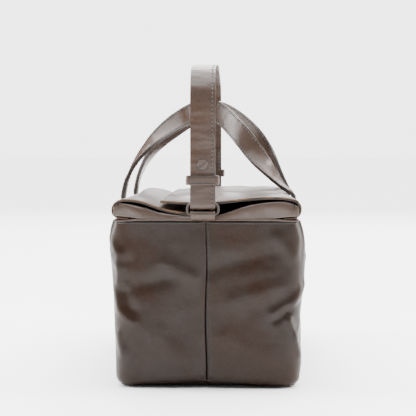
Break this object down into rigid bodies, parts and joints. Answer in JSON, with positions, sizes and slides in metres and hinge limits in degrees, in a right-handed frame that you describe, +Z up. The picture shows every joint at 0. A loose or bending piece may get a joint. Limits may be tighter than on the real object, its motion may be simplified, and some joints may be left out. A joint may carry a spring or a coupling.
{
  "type": "leather satchel",
  "caption": "Soft leather satchel with lapped top flaps, two carry handles and a shoulder strap held by rings, keepers and slotted studs.",
  "frame": {"origin": "middle of the base, on the surface that the bag stands on", "axes": "+Z up; +Y along the bag's length, towards the far end; +X across, towards the rear panel"},
  "size_m": [0.2026, 0.3474, 0.3366],
  "materials": {
    "panel_leather": "smooth, slightly glossy",
    "flap_leather": "smooth, slightly glossy",
    "strap_leather": "smooth, slightly glossy",
    "lining_cloth": "plain weave, matt",
    "facing_leather": "suede, matt",
    "stiffener": "pressed fibreboard",
    "painted_wire": "satin",
    "stud_metal": "satin",
    "barrel_metal": "satin",
    "snap_metal": "satin"
  },
  "bodies": {
    "bag": {"front_panel": "panel_leather", "rear_panel": "panel_leather", "base_panel": "panel_leather", "base_board": "stiffener", "lining": "lining_cloth", "near_end_facing": "flap_leather", "far_end_facing": "flap_leather", "front_top_band": "flap_leather", "rear_top_band": "flap_leather", "near_anchor_tab": "strap_leather", "far_anchor_tab": "strap_leather", "front_handle_ends": "strap_leather", "rear_handle_ends": "strap_leather"},
    "rear_flap": {"rear_flap": "flap_leather", "rear_flap_facing": "facing_leather", "rear_flap_snap": "snap_metal"},
    "front_flap": {"front_flap": "flap_leather", "front_flap_facing": "facing_leather", "front_flap_snap": "snap_metal"},
    "rear_handle": {"rear_handle": "strap_leather"},
    "front_handle": {"front_handle": "strap_leather"},
    "shoulder_strap": {"shoulder_strap": "strap_leather", "near_stud_screw": "stud_metal", "near_stud_barrel": "barrel_metal", "far_stud_screw": "stud_metal", "far_stud_barrel": "barrel_metal"},
    "near_ring": {"near_ring": "painted_wire"},
    "far_ring": {"far_ring": "painted_wire"},
    "near_keeper": {"near_keeper": "strap_leather"},
    "far_keeper": {"far_keeper": "strap_leather"}
  },
  "joints": [
    {"name": "rear_flap_open", "type": "hinge", "parent": "bag", "child": "rear_flap", "pos_m": [0.0936, 0, 0.181], "axis": [0, 1, 0], "range_deg": [0, 90]},
    {"name": "front_flap_open", "type": "hinge", "parent": "bag", "child": "front_flap", "pos_m": [-0.0936, 0, 0.181], "axis": [0, -1, 0], "range_deg": [0, 90]},
    {"name": "rear_handle_swing", "type": "hinge", "parent": "rear_flap", "child": "rear_handle", "pos_m": [0.0973, 0, 0.1865], "axis": [0, -1, 0], "range_deg": [-85, 0]},
    {"name": "front_handle_swing", "type": "hinge", "parent": "front_flap", "child": "front_handle", "pos_m": [-0.0973, 0, 0.1865], "axis": [0, 1, 0], "range_deg": [-85, 0]},
    {"name": "shoulder_strap_swing", "type": "hinge", "parent": "bag", "child": "shoulder_strap", "pos_m": [-0.003, 0, 0.177], "axis": [0, 1, 0], "range_deg": [-110, 110], "deforming": ["near_anchor_tab", "far_anchor_tab"]},
    {"name": "near_ring_tilt", "type": "hinge", "parent": "shoulder_strap", "child": "near_ring", "pos_m": [-0.003, -0.166, 0.187], "axis": [1, 0, 0], "range_deg": [-8, 8]},
    {"name": "far_ring_tilt", "type": "hinge", "parent": "shoulder_strap", "child": "far_ring", "pos_m": [-0.003, 0.166, 0.187], "axis": [1, 0, 0], "range_deg": [-8, 8]},
    {"name": "near_keeper_slide", "type": "slide", "parent": "shoulder_strap", "child": "near_keeper", "axis": [0, 0, 1], "range_m": [-0.006, 0.004]},
    {"name": "far_keeper_slide", "type": "slide", "parent": "shoulder_strap", "child": "far_keeper", "axis": [0, 0, 1], "range_m": [-0.006, 0.004]}
  ],
  "couplings": [
    {"joint": "front_flap_open", "follows": "rear_flap_open", "ratio": 1}
  ]
}
